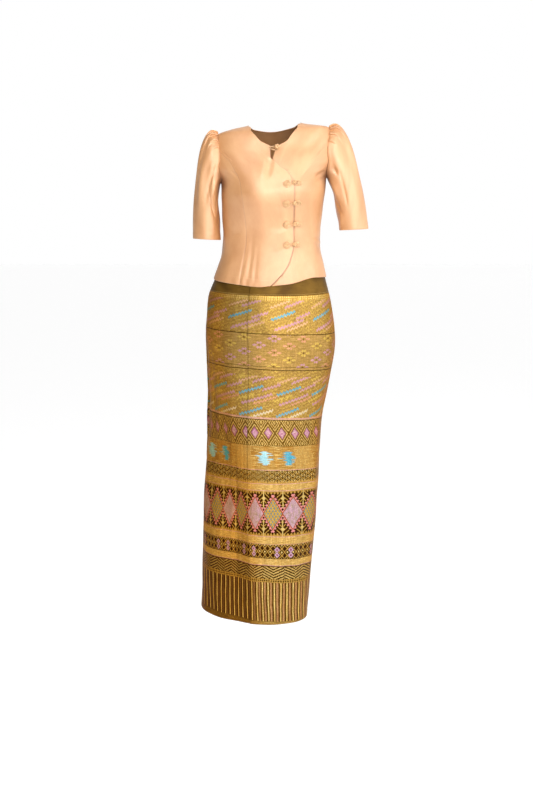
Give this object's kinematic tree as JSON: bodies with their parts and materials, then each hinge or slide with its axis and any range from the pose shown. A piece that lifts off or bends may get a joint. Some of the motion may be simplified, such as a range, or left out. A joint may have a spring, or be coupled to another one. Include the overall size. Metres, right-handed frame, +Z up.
{
  "type": "thai blouse and tube skirt set (chut thai)",
  "caption": "Worn-form Thai outfit: round-necked satin blouse with puffed sleeves, asymmetric lap and knotted frog fastenings, over an ankle-length wrapped brocade tube skirt.",
  "frame": {"origin": "between the shoulders, level with the base of the neck, where the wearer holds the outfit up", "axes": "+Z up, -Y out of the front, -X toward the wearer's right"},
  "size_m": [0.4464, 0.2602, 1.2831],
  "materials": {
    "satin": "smooth pale gold satin",
    "frog_satin": "rolled pale gold satin cord",
    "waistband": "plain olive brown woven silk",
    "brocade": "tan gold brocade with small woven motifs",
    "border_brocade": "dark brown and gold brocade in woven bands"
  },
  "bodies": {
    "root": {"blouse_back": "satin", "blouse_front_left_centre": "satin", "blouse_front_left_side": "satin", "blouse_front_right_centre": "satin", "blouse_front_right_side": "satin", "blouse_sleeve_left": "satin", "blouse_sleeve_right": "satin", "frog_1_ball": "frog_satin", "frog_1_loop": "frog_satin", "frog_2_ball": "frog_satin", "frog_2_coil": "frog_satin", "frog_2_loop": "frog_satin", "frog_3_ball": "frog_satin", "frog_3_coil": "frog_satin", "frog_3_loop": "frog_satin", "frog_4_ball": "frog_satin", "frog_4_coil": "frog_satin", "frog_4_loop": "frog_satin", "frog_5_ball": "frog_satin", "frog_5_coil": "frog_satin", "frog_5_loop": "frog_satin", "skirt_body": "brocade", "skirt_border": "border_brocade", "skirt_waistband": "waistband"}
  },
  "joints": []
}
